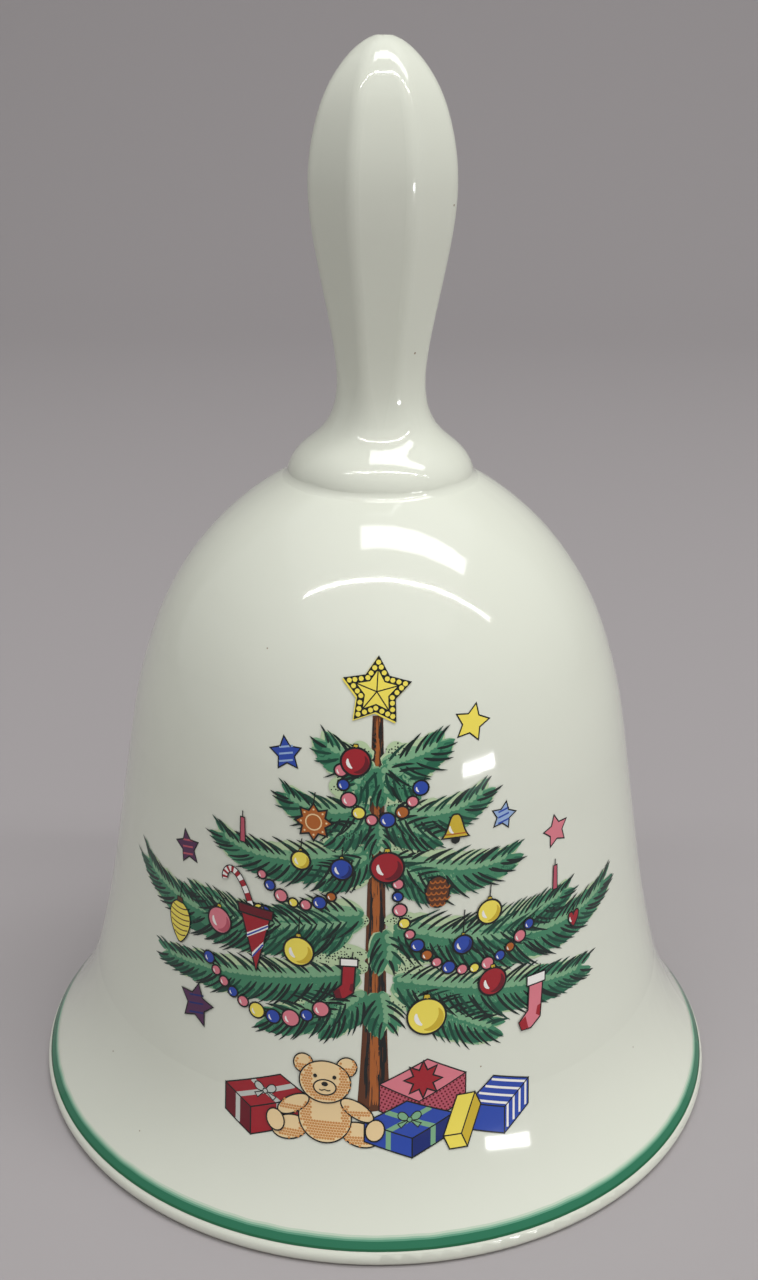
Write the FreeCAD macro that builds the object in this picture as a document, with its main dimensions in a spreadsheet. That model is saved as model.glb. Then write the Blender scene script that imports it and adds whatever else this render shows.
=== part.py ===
"""Porcelain table bell with a faceted handle and a chain-hung clapper.

The bell is a thin revolved casting that stands on its lip. A hollow handle is luted to its
crown, and a small arch inside the crown carries a ring, a chain, an eye pin and a glazed ball.

Frame: millimetres, +Z up, origin on the table plane at the centre of the lip. The flats of the
handle face along X and Y.
"""
import FreeCAD, Part
import math
import os
import Sketcher
from FreeCAD import Placement, Rotation, Vector

# name, value, what it is; lengths in mm, angles in degrees
DIMENSIONS = [
    ("rim_radius", 48.6, "widest radius of the lip"),
    ("wall", 2.6, "thickness of the bell wall; the lip is rounded over its full width"),
    ("foot_trim", 0.25, "depth ground off the round lip, which leaves the flat foot ring"),
    ("flare_low_radius", 40.0, "hollow curve just above the lip"),
    ("flare_low_turn", 24.8, "angle turned by that curve"),
    ("flare_high_radius", 180.0, "slacker hollow curve above it"),
    ("flare_high_turn", 5.4, "angle turned by that curve"),
    ("wall_lean", 9.4, "lean of the straight side wall from the vertical"),
    ("wall_run", 19.5, "length of the straight side wall"),
    ("shoulder_radius", 69.0, "slack round curve above the side wall"),
    ("shoulder_turn", 11.4, "angle turned by that curve"),
    ("crown_radius", 39.0, "tighter round curve up to the handle seat"),
    ("crown_height", 86.9, "height of the flat seat that carries the handle"),
    ("vent_radius", 1.5, "firing vent between the bell and the hollow handle"),
    ("vent_offset", 6.6, "distance of the vent from the bell axis"),
    ("handle_wall", 2.4, "thickness of the hollow handle"),
    ("lug_wire", 2.8, "thickness of the porcelain arch"),
    ("lug_span", 6.8, "distance between the two legs of the arch"),
    ("lug_leg", 1.6, "length of each straight leg"),
    ("link_wire", 1.0, "wire diameter of the ring, the links and the eye"),
    ("link_play", 0.25, "gap left between two wires that hang in each other"),
    ("ring_span", 6.4, "distance across the hanger ring, between wire centres"),
    ("link_height", 8.4, "height of a chain link, between wire centres"),
    ("link_width", 2.9, "width of a chain link, between wire centres"),
    ("link_count", 5, "links in the chain"),
    ("eye_span", 3.6, "distance across the eye of the pin, between wire centres"),
    ("pin_radius", 0.6, "shank of the eye pin"),
    ("pin_play", 0.08, "gap between the shank and the bore of the ball, and under the ball"),
    ("pin_head_radius", 1.5, "riveted end of the pin"),
    ("pin_head_height", 0.8, "thickness of the riveted end"),
    ("ball_radius", 8.5, "glazed clapper ball"),
    ("ball_drop", 3.2, "gap between the eye and the top of the ball"),
]

# The handle's half width across its flats, at heights above the crown seat, foot to nose.
# "soft" is the share of that half width taken by the corner rounding: 1 is fully round.
HANDLE_SECTIONS = [
    ("foot", 0.0, 12.1, 0.97),
    ("collar", 1.6, 11.65, 0.97),
    ("collar_bend", 3.4, 10.2, 0.96),
    ("collar_slope", 5.2, 8.1, 0.93),
    ("collar_top", 7.8, 6.35, 0.8),
    ("neck", 12.0, 5.62, 0.45),
    ("grip_low", 18.0, 6.25, 0.3),
    ("grip", 25.0, 7.6, 0.26),
    ("bulb_low", 31.5, 8.72, 0.26),
    ("bulb", 36.0, 9.02, 0.26),
    ("bulb_high", 41.0, 8.55, 0.28),
    ("nose_low", 45.5, 7.3, 0.34),
    ("nose", 49.0, 5.4, 0.5),
    ("nose_high", 51.4, 3.2, 0.75),
    ("tip", 52.6, 1.0, 0.95),
]

# how Sketcher numbers its own axes and the points of a curve
H_AXIS, V_AXIS = -1, -2
START, END, CENTRE = 1, 2, 3

os.makedirs("parts", exist_ok=True)
document = FreeCAD.newDocument("porcelain_bell")


# ---------------------------------------------------------------- dimensions
def make_sheet():
    """Puts every driving dimension in a spreadsheet cell that carries its name."""
    sheet = document.addObject("Spreadsheet::Sheet", "sheet")
    rows = list(DIMENSIONS)
    for name, height, half_width, soft in HANDLE_SECTIONS:
        rows.append((f"{name}_height", height, f"height of the handle's {name} section"))
        rows.append((f"{name}_half_width", half_width, "half width across its flats"))
        rows.append((f"{name}_soft", soft, "share of it that is corner rounding"))
    for number, (name, value, meaning) in enumerate(rows, start=1):
        sheet.set(f"A{number}", meaning)
        sheet.set(f"B{number}", str(value))
        sheet.setAlias(f"B{number}", name)
    document.recompute()
    return sheet


sheet = make_sheet()


def size(name):
    """The value of one named cell."""
    return float(sheet.get(name))


def bind(thing, target, formula):
    """Drives one property, placement field or constraint of an object from the sheet."""
    thing.setExpression(target, formula)


# ---------------------------------------------------------------- sketch helpers
def polar(centre, radius, degrees):
    """The point at that radius and angle from a centre, in sketch coordinates."""
    angle = math.radians(degrees)
    return Vector(centre.x + radius * math.cos(angle), centre.y + radius * math.sin(angle), 0)


def new_body(name):
    body = document.addObject("PartDesign::Body", name + "_body")
    body.Label = name
    return body


def new_sketch(body, name, plane):
    """A sketch flat on one of the body's own origin planes."""
    sketch = body.newObject("Sketcher::SketchObject", name)
    support = [p for p in body.Origin.OriginFeatures if p.Role == plane][0]
    sketch.AttachmentSupport = [(support, "")]
    sketch.MapMode = "FlatFace"
    return sketch


def add_line(sketch, start, end):
    return sketch.addGeometry(Part.LineSegment(start, end))


def add_arc(sketch, centre, radius, low, high):
    """An arc from angle low to angle high, in degrees, counter-clockwise."""
    circle = Part.Circle(centre, Vector(0, 0, 1), radius)
    return sketch.addGeometry(Part.ArcOfCircle(circle, math.radians(low), math.radians(high)))


def meeting_ends(sketch, first, second):
    """Which end (1 start, 2 end) of two curves lies nearest the other."""
    pairs = [(a, b) for a in (1, 2) for b in (1, 2)]
    return min(pairs, key=lambda p: (sketch.getPoint(first, p[0]) - sketch.getPoint(second, p[1])).Length)


def join(sketch, kind, first, second):
    """Joins two curves at their nearest ends, as "Coincident" or as "Tangent"."""
    a, b = meeting_ends(sketch, first, second)
    sketch.addConstraint(Sketcher.Constraint(kind, first, a, second, b))


def dimension(sketch, formula, kind, *where):
    """Adds a dimension with its present value and binds it to the sheet."""
    index = sketch.addConstraint(Sketcher.Constraint(kind, *where))
    bind(sketch, f"Constraints[{index}]", formula)


# ---------------------------------------------------------------- bell shell
def wall_arcs():
    """Centres, radii and angles of the outer wall's curves, from the lip up.

    An angle is that of the outward normal above the horizontal. A hollow curve has its centre
    outside the bell, so its normal points at the centre.
    """
    lip_radius = size("wall") / 2
    lip = Vector(size("rim_radius") - lip_radius, lip_radius - size("foot_trim"), 0)
    lean = size("wall_lean")
    high_start = lean + size("flare_high_turn")
    low_start = high_start + size("flare_low_turn")
    shoulder_end = lean + size("shoulder_turn")
    low = polar(lip, lip_radius + size("flare_low_radius"), low_start)
    high = polar(low, size("flare_high_radius") - size("flare_low_radius"), high_start)
    wall_foot = polar(high, -size("flare_high_radius"), lean)
    wall_top = polar(wall_foot, size("wall_run"), lean + 90)
    shoulder = polar(wall_top, -size("shoulder_radius"), lean)
    crown = polar(shoulder, size("shoulder_radius") - size("crown_radius"), shoulder_end)
    return {
        "lip": (lip, lip_radius, low_start),
        "low": (low, size("flare_low_radius"), low_start, high_start),
        "high": (high, size("flare_high_radius"), high_start, lean),
        "wall": (wall_foot, wall_top),
        "shoulder": (shoulder, size("shoulder_radius"), lean, shoulder_end),
        "crown": (crown, size("crown_radius"), shoulder_end),
    }


def add_wall_side(sketch, arcs, inward, crown_height):
    """One face of the wall as five tangent curves, moved inward from the outer face."""
    low_centre, low_radius, low_start, high_start = arcs["low"]
    high_centre, high_radius, _, lean = arcs["high"]
    shoulder_centre, shoulder_radius, _, shoulder_end = arcs["shoulder"]
    crown_centre, crown_radius, _ = arcs["crown"]
    shift = polar(Vector(0, 0, 0), -inward, lean)
    foot, top = (point + shift for point in arcs["wall"])
    crown_end = math.degrees(math.asin((crown_height - crown_centre.y) / (crown_radius - inward)))
    low = add_arc(sketch, low_centre, low_radius + inward, 180 + high_start, 180 + low_start)
    high = add_arc(sketch, high_centre, high_radius + inward, 180 + lean, 180 + high_start)
    wall = add_line(sketch, foot, top)
    shoulder = add_arc(sketch, shoulder_centre, shoulder_radius - inward, lean, shoulder_end)
    crown = add_arc(sketch, crown_centre, crown_radius - inward, shoulder_end, crown_end)
    for first, second in ((low, high), (high, wall), (wall, shoulder), (shoulder, crown)):
        join(sketch, "Tangent", first, second)
    return low, high, wall, shoulder, crown


def make_bell_shell():
    """The revolved casting: one wall thickness everywhere, and a flat foot ring at z = 0."""
    body = new_body("bell_shell")
    sketch = new_sketch(body, "shell_outline", "XZ_Plane")
    arcs = wall_arcs()
    wall = size("wall")
    top = size("crown_height")
    lip_centre, lip_radius, lip_lean = arcs["lip"]
    foot_angle = math.degrees(math.asin(lip_centre.y / lip_radius))
    outer = add_wall_side(sketch, arcs, 0, top)
    inner = add_wall_side(sketch, arcs, wall, top - wall)
    lip_out = add_arc(sketch, lip_centre, lip_radius, -foot_angle, lip_lean)
    lip_in = add_arc(sketch, lip_centre, lip_radius, 180 + lip_lean - 360, foot_angle - 180)
    foot_line = add_line(sketch, sketch.getPoint(lip_in, END), sketch.getPoint(lip_out, START))
    seat = add_line(sketch, sketch.getPoint(outer[4], END), Vector(0, top, 0))
    axis_line = add_line(sketch, Vector(0, top, 0), Vector(0, top - wall, 0))
    ceiling = add_line(sketch, Vector(0, top - wall, 0), sketch.getPoint(inner[4], END))

    for first, second in ((lip_out, outer[0]), (lip_in, inner[0])):
        join(sketch, "Tangent", first, second)
    for first, second in (
        (lip_out, foot_line), (foot_line, lip_in), (outer[4], seat), (seat, axis_line),
        (axis_line, ceiling), (ceiling, inner[4]),
    ):
        join(sketch, "Coincident", first, second)
    sketch.addConstraint(Sketcher.Constraint("Coincident", lip_out, CENTRE, lip_in, CENTRE))
    for number in (0, 1, 3, 4):
        sketch.addConstraint(
            Sketcher.Constraint("Coincident", outer[number], CENTRE, inner[number], CENTRE)
        )
    sketch.addConstraint(Sketcher.Constraint("Parallel", outer[2], inner[2]))
    sketch.addConstraint(Sketcher.Constraint("Equal", lip_out, lip_in))
    sketch.addConstraint(Sketcher.Constraint("PointOnObject", foot_line, START, H_AXIS))
    sketch.addConstraint(Sketcher.Constraint("PointOnObject", foot_line, END, H_AXIS))
    sketch.addConstraint(Sketcher.Constraint("Horizontal", seat))
    sketch.addConstraint(Sketcher.Constraint("Horizontal", ceiling))
    sketch.addConstraint(Sketcher.Constraint("PointOnObject", axis_line, START, V_AXIS))
    sketch.addConstraint(Sketcher.Constraint("PointOnObject", axis_line, END, V_AXIS))

    lean = math.radians(90 + size("wall_lean"))
    dimension(sketch, "sheet.rim_radius - sheet.wall / 2", "DistanceX", lip_out, CENTRE, lip_centre.x)
    dimension(sketch, "sheet.wall / 2 - sheet.foot_trim", "DistanceY", lip_out, CENTRE, lip_centre.y)
    dimension(sketch, "sheet.wall / 2", "Radius", lip_out, lip_radius)
    dimension(sketch, "sheet.flare_low_radius", "Radius", outer[0], size("flare_low_radius"))
    dimension(sketch, "sheet.flare_high_radius", "Radius", outer[1], size("flare_high_radius"))
    dimension(sketch, "sheet.shoulder_radius", "Radius", outer[3], size("shoulder_radius"))
    dimension(sketch, "sheet.crown_radius", "Radius", outer[4], size("crown_radius"))
    dimension(sketch, "sheet.flare_low_turn", "Angle", outer[0], math.radians(size("flare_low_turn")))
    dimension(sketch, "sheet.flare_high_turn", "Angle", outer[1], math.radians(size("flare_high_turn")))
    dimension(sketch, "sheet.shoulder_turn", "Angle", outer[3], math.radians(size("shoulder_turn")))
    dimension(sketch, "sheet.wall_run", "Distance", outer[2], size("wall_run"))
    dimension(sketch, "90 + sheet.wall_lean", "Angle", outer[2], lean)
    dimension(sketch, "sheet.crown_height", "DistanceY", seat, START, top)
    dimension(sketch, "sheet.crown_height - sheet.wall", "DistanceY", ceiling, START, top - wall)

    turned = body.newObject("PartDesign::Revolution", "shell_turned")
    turned.Profile = sketch
    turned.ReferenceAxis = (sketch, ["V_Axis"])
    turned.Angle = 360
    document.recompute()

    vent_sketch = new_sketch(body, "vent_outline", "XY_Plane")
    circle = Part.Circle(Vector(0, size("vent_offset"), 0), Vector(0, 0, 1), size("vent_radius"))
    vent_circle = vent_sketch.addGeometry(circle)
    vent_sketch.addConstraint(Sketcher.Constraint("PointOnObject", vent_circle, CENTRE, V_AXIS))
    dimension(vent_sketch, "sheet.vent_offset", "DistanceY", vent_circle, CENTRE, size("vent_offset"))
    dimension(vent_sketch, "sheet.vent_radius", "Radius", vent_circle, size("vent_radius"))
    vent = body.newObject("PartDesign::Pocket", "vent")
    vent.Profile = vent_sketch
    vent.Type = "Length"
    vent.Reversed = True
    bind(vent, "Length", "sheet.crown_height + 1")
    document.recompute()
    removed = turned.Shape.Volume - vent.Shape.Volume
    expected = math.pi * size("vent_radius") ** 2 * wall
    assert abs(removed - expected) < 1e-3 * expected, "the vent pocket missed the crown"
    return body


# ---------------------------------------------------------------- handle
def section_height(name):
    return f"sheet.crown_height + sheet.{name}_height"


def soft_octagon(name):
    """One outer section of the handle: an octagon grown by its corner radius."""
    octagon = document.addObject("Part::RegularPolygon", f"octagon_{name}")
    octagon.Polygon = 8
    bind(octagon, "Circumradius", f"sheet.{name}_half_width * (1 - sheet.{name}_soft) / cos(22.5)")
    octagon.Placement = Placement(Vector(0, 0, 0), Rotation(Vector(0, 0, 1), 22.5))
    bind(octagon, "Placement.Base.z", section_height(name))
    section = document.addObject("Part::Offset2D", f"section_{name}")
    section.Source = octagon
    section.Join = "Arc"
    bind(section, "Value", f"sheet.{name}_half_width * sheet.{name}_soft")
    return section


def cavity_circle(name):
    """One section of the handle's hollow, one wall thickness inside the flats."""
    circle = document.addObject("Part::Circle", f"cavity_{name}")
    bind(circle, "Radius", f"sheet.{name}_half_width - sheet.handle_wall")
    bind(circle, "Placement.Base.z", section_height(name))
    return circle


def loft(name, sections):
    skin = document.addObject("Part::Loft", name)
    skin.Sections = sections
    skin.Solid = True
    skin.Ruled = False
    return skin


def make_handle():
    """A hollow casting: a round collar that fades into eight soft facets and back to a round nose."""
    names = [row[0] for row in HANDLE_SECTIONS]
    outside = loft("handle_outside", [soft_octagon(name) for name in names])
    roomy = [name for name in names if size(name + "_half_width") > 2 * size("handle_wall")]
    cavity = loft("handle_cavity", [cavity_circle(name) for name in roomy])
    handle = document.addObject("Part::Cut", "handle_cut")
    handle.Base = outside
    handle.Tool = cavity
    handle.Label = "handle"
    return handle


# ---------------------------------------------------------------- hanging gear
def rod(name, radius, length, x, z):
    """An upright round bar whose foot is at (x, 0, z); all four are sheet formulas."""
    bar = document.addObject("Part::Cylinder", name)
    bind(bar, "Radius", radius)
    bind(bar, "Height", length)
    bind(bar, "Placement.Base.x", x)
    bind(bar, "Placement.Base.z", z)
    return bar


def upright_torus(name, ring_radius, wire_radius, z, plane, sweep=360, roll=0):
    """A ring of wire standing in the XZ or the YZ plane, centred on the bell axis at height z."""
    ring = document.addObject("Part::Torus", name)
    bind(ring, "Radius1", ring_radius)
    bind(ring, "Radius2", wire_radius)
    ring.Angle3 = sweep
    stand = Rotation(Vector(1, 0, 0), 90) * Rotation(Vector(0, 0, 1), roll)
    turn = Rotation(Vector(0, 0, 1), 90 if plane == "YZ" else 0)
    ring.Placement = Placement(Vector(0, 0, 0), turn * stand)
    bind(ring, "Placement.Base.z", z)
    return ring


def fuse(label, pieces):
    joined = document.addObject("Part::MultiFuse", label + "_fuse")
    joined.Shapes = pieces
    joined.Label = label
    return joined


CEILING = "sheet.crown_height - sheet.wall"
LUG_CENTRE = f"({CEILING} - sheet.lug_leg)"
LUG_BAR = f"({LUG_CENTRE} - sheet.lug_span / 2)"
RING_TOP = f"({LUG_BAR} + sheet.lug_wire / 2 + sheet.link_wire / 2 + sheet.link_play)"
RING_BAR = f"({RING_TOP} - sheet.ring_span)"
WIRE_PITCH = "(sheet.link_wire + sheet.link_play)"


def link_bar(number):
    """Height of the lower bar of a chain link, as a sheet formula; link 0 is the ring."""
    return f"({RING_BAR} - {number} * (sheet.link_height - {WIRE_PITCH}))"


EYE_TOP = f"({link_bar(int(size('link_count')))} + {WIRE_PITCH})"
EYE_CENTRE = f"({EYE_TOP} - sheet.eye_span / 2)"
BALL_TOP = f"({EYE_TOP} - sheet.eye_span - sheet.ball_drop)"
BALL_CENTRE = f"({BALL_TOP} - sheet.ball_radius)"
PIN_HEAD_TOP = f"({BALL_CENTRE} - sheet.ball_radius - sheet.pin_play)"


def make_clapper_lug():
    """A porcelain arch that hangs from the ceiling of the bell in the XZ plane."""
    arch = upright_torus(
        "lug_arch", "sheet.lug_span / 2", "sheet.lug_wire / 2", LUG_CENTRE, "XZ", 180, 180
    )
    wire, leg = "sheet.lug_wire / 2", "sheet.lug_leg"
    left = rod("lug_leg_left", wire, leg, "-sheet.lug_span / 2", LUG_CENTRE)
    right = rod("lug_leg_right", wire, leg, "sheet.lug_span / 2", LUG_CENTRE)
    return fuse("clapper_lug", [arch, left, right])


def make_hanger_ring():
    """A plain wire ring through the arch, in the YZ plane."""
    ring = upright_torus(
        "hanger_ring_wire", "sheet.ring_span / 2", "sheet.link_wire / 2",
        f"{RING_TOP} - sheet.ring_span / 2", "YZ",
    )
    ring.Label = "hanger_ring"
    return ring


def make_chain_link(number):
    """A long link; odd links stand in the XZ plane and even ones in the YZ plane."""
    label = f"chain_link_{number}"
    plane = "XZ" if number % 2 else "YZ"
    bend = "sheet.link_width / 2"
    wire = "sheet.link_wire / 2"
    low = f"{link_bar(number)} + sheet.link_width / 2"
    high = f"{link_bar(number)} + sheet.link_height - sheet.link_width / 2"
    ends = [
        upright_torus(label + "_foot", bend, wire, low, plane, 180, 180),
        upright_torus(label + "_head", bend, wire, high, plane, 180, 0),
    ]
    sides = []
    for side, sign in (("near", -1), ("far", 1)):
        bar = rod(f"{label}_{side}", wire, "sheet.link_height - sheet.link_width", "0", low)
        bind(bar, "Placement.Base.x" if plane == "XZ" else "Placement.Base.y", f"{sign} * {bend}")
        sides.append(bar)
    return fuse(label, ends + sides)


def make_eye_pin():
    """An eye in the plane across the last link, a shank through the ball and a riveted end."""
    plane = "YZ" if int(size("link_count")) % 2 else "XZ"
    eye = upright_torus("pin_eye", "sheet.eye_span / 2", "sheet.link_wire / 2", EYE_CENTRE, plane)
    shank_top = f"({EYE_TOP} - sheet.eye_span)"
    shank = rod("pin_shank", "sheet.pin_radius", f"{shank_top} - {PIN_HEAD_TOP}", "0", PIN_HEAD_TOP)
    head_foot = f"{PIN_HEAD_TOP} - sheet.pin_head_height"
    head = rod("pin_head", "sheet.pin_head_radius", "sheet.pin_head_height", "0", head_foot)
    return fuse("eye_pin", [eye, shank, head])


def make_clapper_ball():
    """A porcelain ball, bored through for the shank of the eye pin."""
    ball = document.addObject("Part::Sphere", "ball_round")
    bind(ball, "Radius", "sheet.ball_radius")
    bind(ball, "Placement.Base.z", BALL_CENTRE)
    bore_foot = f"{BALL_CENTRE} - sheet.ball_radius"
    bore = rod("ball_bore", "sheet.pin_radius + sheet.pin_play", "2 * sheet.ball_radius", "0", bore_foot)
    bored = document.addObject("Part::Cut", "ball_cut")
    bored.Base = ball
    bored.Tool = bore
    bored.Label = "clapper_ball"
    return bored


# ---------------------------------------------------------------- build, check and write
sub_parts = [
    make_bell_shell(),
    make_handle(),
    make_clapper_lug(),
    make_hanger_ring(),
    *[make_chain_link(number) for number in range(1, int(size("link_count")) + 1)],
    make_eye_pin(),
    make_clapper_ball(),
]
document.recompute()

for thing in document.Objects:
    faults = [word for word in thing.State if word in ("Invalid", "Error")]
    assert not faults, f"{thing.Name} did not compute: {faults}"
for part in sub_parts:
    shape = part.Shape
    assert not shape.isNull() and shape.isValid(), f"{part.Label} has no sound shape"
    assert len(shape.Solids) == 1, f"{part.Label} is not one solid"
for part in sub_parts:
    part.Shape.exportStep(f"parts/{part.Label}.step")
    print(f"{part.Label}: {part.Shape.Volume:.1f} mm3")
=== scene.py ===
"""Looks of the porcelain bell: glaze, painted fir tree, green lip line, brass chain and studio.

Lengths are in metres in Blender. The painted scene is drawn in millimetres on the bell's wall:
u runs to the right along the wall from the middle of the painted side, and v runs up along it
from PAINT_FOOT above the table.
"""

import math
import random

import bpy
import numpy as np
from mathutils import Matrix, Vector
from mathutils.geometry import delaunay_2d_cdt


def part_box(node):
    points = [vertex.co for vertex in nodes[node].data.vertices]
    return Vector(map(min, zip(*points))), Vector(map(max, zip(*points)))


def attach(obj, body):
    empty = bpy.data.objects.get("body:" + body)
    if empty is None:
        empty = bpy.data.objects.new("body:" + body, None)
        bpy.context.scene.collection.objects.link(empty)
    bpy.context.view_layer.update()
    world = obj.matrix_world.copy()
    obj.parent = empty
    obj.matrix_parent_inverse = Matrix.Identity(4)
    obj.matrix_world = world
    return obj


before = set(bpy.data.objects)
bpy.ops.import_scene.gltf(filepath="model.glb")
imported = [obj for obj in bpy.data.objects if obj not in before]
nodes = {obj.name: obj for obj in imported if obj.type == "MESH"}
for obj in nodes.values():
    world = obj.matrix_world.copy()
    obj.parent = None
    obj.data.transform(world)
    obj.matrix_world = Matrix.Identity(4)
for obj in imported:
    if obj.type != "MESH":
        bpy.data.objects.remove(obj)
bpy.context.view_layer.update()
MM = 0.001


def linear(red, green, blue):
    """A screen colour, 0 to 255, as linear light."""
    shares = [value / 255 for value in (red, green, blue)]
    return tuple(s / 12.92 if s <= 0.04045 else ((s + 0.055) / 1.055) ** 2.4 for s in shares)


# ---------------------------------------------------------------- shader helpers
class Shader:
    """Builds one node material with short calls."""

    def __init__(self, name, **principled):
        self.material = bpy.data.materials.new(name)
        self.material.use_nodes = True
        self.tree = self.material.node_tree
        self.surface = self.tree.nodes["Principled BSDF"]
        for key, value in principled.items():
            self.surface.inputs[key.replace("_", " ")].default_value = value

    def node(self, kind, **settings):
        """Adds a shader node, named by the end of its type."""
        made = self.tree.nodes.new("ShaderNode" + kind)
        for key, value in settings.items():
            setattr(made, key, value)
        return made

    def plug(self, value, socket):
        """Links another node's socket, or sets a plain value."""
        if isinstance(value, bpy.types.NodeSocket):
            self.tree.links.new(value, socket)
        elif isinstance(value, tuple) and len(value) == 3 and socket.type == "RGBA":
            socket.default_value = (*value, 1.0)
        else:
            socket.default_value = value

    def fill(self, made, **values):
        """Sets a node's inputs by name, with an underscore for each space."""
        for key, value in values.items():
            self.plug(value, made.inputs[key.replace("_", " ")])
        return made

    def math(self, operation, *values):
        """One calculation with one, two or three values."""
        made = self.node("Math", operation=operation)
        for number, value in enumerate(values):
            self.plug(value, made.inputs[number])
        return made.outputs[0]

    def step(self, value, low, high):
        """Rises smoothly from 0 to 1 as value goes from low to high."""
        made = self.node("MapRange", interpolation_type="SMOOTHSTEP")
        self.fill(made, Value=value, From_Min=low, From_Max=high)
        return made.outputs["Result"]

    def noise(self, place, scale, detail):
        """A soft random pattern, from 0 to 1."""
        made = self.node("TexNoise")
        self.fill(made, Vector=place, Scale=scale, Detail=detail)
        return made.outputs["Fac"]

    def mix(self, share, first, second):
        """A colour between two, by the share of the second."""
        made = self.node("Mix", data_type="RGBA")
        self.plug(share, made.inputs[0])
        self.plug(first, made.inputs[6])
        self.plug(second, made.inputs[7])
        return made.outputs[2]

    def place(self):
        """Position on the piece, in metres, in the bell's own frame."""
        return self.node("TexCoord").outputs["Object"]

    def bump(self, height, distance, strength=1.0):
        made = self.node("Bump")
        self.fill(made, Height=height, Distance=distance, Strength=strength)
        self.plug(made.outputs["Normal"], self.surface.inputs["Normal"])


# ---------------------------------------------------------------- materials
GLAZE = {"Roughness": 0.07, "IOR": 1.52}
RIPPLE_SCALE = 220.0
RIPPLE_HEIGHT = 0.03 * MM
RIPPLE_STRENGTH = 0.5
PORCELAIN = linear(224, 227, 214)
PORCELAIN_CLOUD = linear(220, 223, 208)
CLOUD_SCALE = 35.0
SPECK = linear(158, 144, 122)
SPECK_SCALE = 230.0
SPECK_SIZE = 0.035
SPECK_LIMIT = 0.86
BARE_CLAY = linear(232, 228, 216)
BARE_ROUGHNESS = 0.6
BARE_HEIGHTS = (0.05 * MM, 0.15 * MM)
BRASS = linear(214, 178, 104)
TARNISH = linear(150, 112, 60)
TARNISH_SCALE = 420.0
DRAW_LINE_SCALE = 6000.0
DRAW_LINE_DEPTH = 0.01 * MM


def add_glaze_relief(shader, place):
    """The faint ripple of a poured glaze."""
    ripple = shader.noise(place, RIPPLE_SCALE, 1.0)
    shader.bump(ripple, RIPPLE_HEIGHT, RIPPLE_STRENGTH)


def with_specks(shader, place, colour):
    """Iron specks under the glaze, in the few cells whose random value passes the limit."""
    cells = shader.node("TexVoronoi")
    shader.fill(cells, Vector=place, Scale=SPECK_SCALE)
    near = shader.math("LESS_THAN", cells.outputs["Distance"], SPECK_SIZE)
    chance = shader.node("SeparateColor")
    shader.plug(cells.outputs["Color"], chance.inputs[0])
    chosen = shader.math("GREATER_THAN", chance.outputs[0], SPECK_LIMIT)
    share = shader.math("MULTIPLY", near, chosen)
    return shader.mix(share, colour, SPECK)


def porcelain(name, bare_foot=False):
    """Warm white glazed porcelain; the shell's foot ring is left unglazed."""
    shader = Shader(name, **GLAZE)
    place = shader.place()
    cloud = shader.noise(place, CLOUD_SCALE, 3.0)
    colour = shader.mix(cloud, PORCELAIN, PORCELAIN_CLOUD)
    colour = with_specks(shader, place, colour)
    if bare_foot:
        axes = shader.node("SeparateXYZ")
        shader.plug(place, axes.inputs[0])
        bare = shader.math("SUBTRACT", 1.0, shader.step(axes.outputs[2], *BARE_HEIGHTS))
        colour = shader.mix(bare, colour, BARE_CLAY)
        roughness = shader.math("MULTIPLY_ADD", bare, BARE_ROUGHNESS, GLAZE["Roughness"])
        shader.plug(roughness, shader.surface.inputs["Roughness"])
    shader.plug(colour, shader.surface.inputs["Base Color"])
    add_glaze_relief(shader, place)
    return shader.material


def brass_wire():
    """Drawn brass wire: fine draw lines, a little tarnish."""
    shader = Shader("brass_wire", Metallic=1.0)
    place = shader.place()
    tarnish = shader.step(shader.noise(place, TARNISH_SCALE, 3.0), 0.45, 0.75)
    colour = shader.mix(tarnish, BRASS, TARNISH)
    shader.plug(colour, shader.surface.inputs["Base Color"])
    roughness = shader.math("MULTIPLY_ADD", tarnish, 0.25, 0.22)
    shader.plug(roughness, shader.surface.inputs["Roughness"])
    shader.bump(shader.noise(place, DRAW_LINE_SCALE, 1.0), DRAW_LINE_DEPTH, 0.6)
    return shader.material


def dress(node, material):
    """Gives a CAD node its material."""
    mesh = nodes[node].data
    mesh.materials.clear()
    mesh.materials.append(material)


# ---------------------------------------------------------------- the wall that is painted
# In mm: the height where v starts, the paint's distance from the glaze, the rise from level to
# level, the longest edge of a painted outline, the pitch at which the wall is measured and the
# height of the green line's lower edge. Then how squarely a face of the outer wall looks outward.
PAINT_FOOT = 9.6
PAINT_LIFT = 0.03
LEVEL_STEP = 0.004
MESH_STEP = 0.7
FINE_STEP = 0.1
LINE_HEIGHT = 2.1
FACES_OUT = 0.3


def read_wall():
    """Height, radius and slope of the shell's outer face, ring by ring, from its CAD mesh, in mm."""
    mesh = nodes["bell_shell"].data
    corners = np.empty(len(mesh.loops), int)
    mesh.loops.foreach_get("vertex_index", corners)
    places = np.empty(3 * len(mesh.vertices))
    mesh.vertices.foreach_get("co", places)
    normals = np.empty(3 * len(mesh.loops))
    mesh.corner_normals.foreach_get("vector", normals)
    places = places.reshape(-1, 3)[corners] / MM
    normals = normals.reshape(-1, 3)
    radius = np.hypot(places[:, 0], places[:, 1])
    outward = (places[:, :2] * normals[:, :2]).sum(axis=1) / np.maximum(radius, 1e-6)
    outer = outward > FACES_OUT
    heights, first = np.unique(places[outer, 2].round(3), return_index=True)
    slopes = -normals[outer, 2] / outward[outer]
    return heights, radius[outer][first], slopes[first]


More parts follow.
